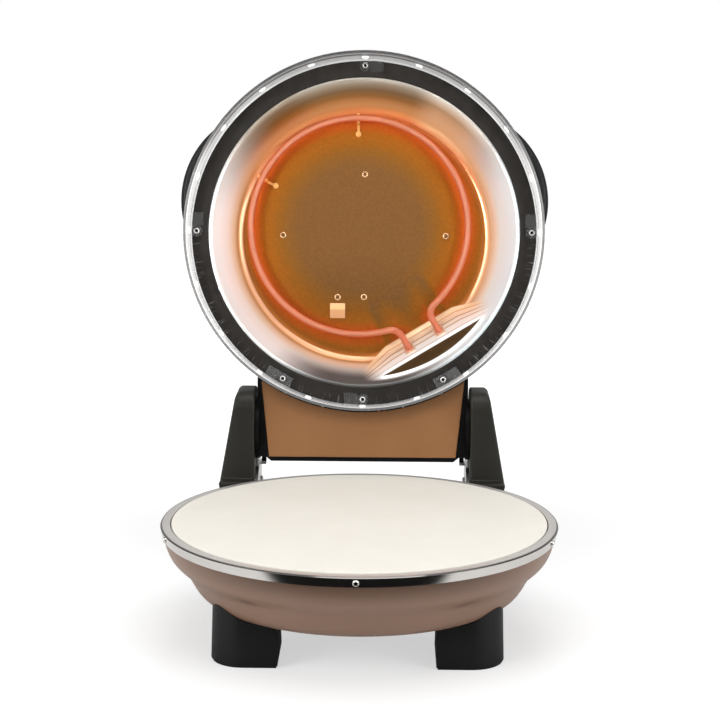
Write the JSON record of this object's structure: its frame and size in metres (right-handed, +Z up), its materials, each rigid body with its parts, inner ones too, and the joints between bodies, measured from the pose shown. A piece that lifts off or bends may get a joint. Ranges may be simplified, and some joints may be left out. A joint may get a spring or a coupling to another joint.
{
  "type": "electric pizza maker",
  "caption": "Round countertop pizza oven: ceramic baking stone in a waisted metal bowl on feet, under a hinged lid with a polished reflector, tubular heater and clear guard ring.",
  "frame": {"origin": "centre of the baking stone's top face", "axes": "+Z up, out of the stone; the cooker's front faces -Y and its hinge is at +Y; X runs along the hinge"},
  "size_m": [0.3392, 0.4358, 0.4788],
  "materials": {
    "stone": "fine matt unglazed ceramic, cream",
    "ring_steel": "circular brushed",
    "bowl_paint": "satin taupe-brown enamel",
    "screw_steel": "bright machined",
    "bright_aluminium": "polished",
    "zinc_steel": "zinc plated",
    "heater_tube": "oxidised tube, glows orange when hot",
    "white_ceramic": "unglazed steatite",
    "foot_plastic": "fine spark texture",
    "sole_rubber": "matt",
    "arm_plastic": "satin",
    "gland_plastic": "matt",
    "wire_cover": "silicone cover",
    "frame_enamel": "heat-proof black enamel",
    "guard_glass": "clear",
    "pan_mirror": "mirror polished",
    "housing_plastic": "satin",
    "handle_plastic": "satin",
    "panel_brown": "satin brown enamel",
    "bush_plastic": "self-lubricating nylon",
    "control_case": "moulded case",
    "lamp_lens": "clear red lens",
    "knob_plastic": "satin black with a pale pointer line"
  },
  "bodies": {
    "base": {"base_bowl": "bowl_paint", "rim_ring": "ring_steel", "rim_screws": "screw_steel", "baking_stone": "stone", "lower_reflector": "bright_aluminium", "reflector_posts": "zinc_steel", "lower_heater": "heater_tube", "lower_heater_clips": "zinc_steel", "lower_heater_bushes": "white_ceramic", "bottom_cover": "zinc_steel", "cover_screws": "screw_steel", "foot_front_left": "foot_plastic", "foot_front_right": "foot_plastic", "foot_rear_left": "foot_plastic", "foot_rear_right": "foot_plastic", "foot_soles": "sole_rubber", "foot_screws": "screw_steel", "rear_saddle": "zinc_steel", "saddle_screws": "screw_steel", "bracket_plate_left": "zinc_steel", "bracket_plate_right": "zinc_steel", "stop_buffers": "sole_rubber", "hinge_arm_left": "arm_plastic", "hinge_arm_right": "arm_plastic", "arm_screws": "screw_steel", "hinge_pin_left": "screw_steel", "hinge_pin_right": "screw_steel", "terminal_block": "white_ceramic", "cord_gland": "gland_plastic", "base_wiring": "wire_cover"},
    "lid": {"lid_dome": "bowl_paint", "frame_ring": "frame_enamel", "clear_guard": "guard_glass", "guard_screws": "screw_steel", "reflector_pan": "pan_mirror", "pan_screws": "screw_steel", "upper_heater": "heater_tube", "upper_heater_clips": "zinc_steel", "upper_heater_bushes": "white_ceramic", "sensor_plate": "bright_aluminium", "thermal_cutout": "control_case", "handle_left": "handle_plastic", "handle_right": "handle_plastic", "handle_screws": "screw_steel", "hinge_housing": "housing_plastic", "housing_screws": "screw_steel", "housing_panel": "panel_brown", "pivot_bush_left": "bush_plastic", "pivot_bush_right": "bush_plastic", "thermostat": "control_case", "timer": "control_case", "pilot_lamp": "lamp_lens", "lid_terminals": "white_ceramic", "lid_wiring": "wire_cover"},
    "thermostat_knob": {"thermostat_knob": "knob_plastic", "thermostat_spindle": "screw_steel"},
    "timer_knob": {"timer_knob": "knob_plastic", "timer_spindle": "screw_steel"}
  },
  "joints": [
    {"name": "lid_hinge", "type": "hinge", "parent": "base", "child": "lid", "pos_m": [0, 0.18, 0.0375], "axis": [1, 0, 0], "range_deg": [0, 102]},
    {"name": "thermostat_turn", "type": "hinge", "parent": "lid", "child": "thermostat_knob", "pos_m": [0.048, 0.19964, 0.03128], "axis": [0, 0.9781, -0.2079], "range_deg": [-270, 0]},
    {"name": "timer_turn", "type": "hinge", "parent": "lid", "child": "timer_knob", "pos_m": [-0.048, 0.19964, 0.03128], "axis": [0, 0.9781, -0.2079], "range_deg": [-300, 0]}
  ]
}
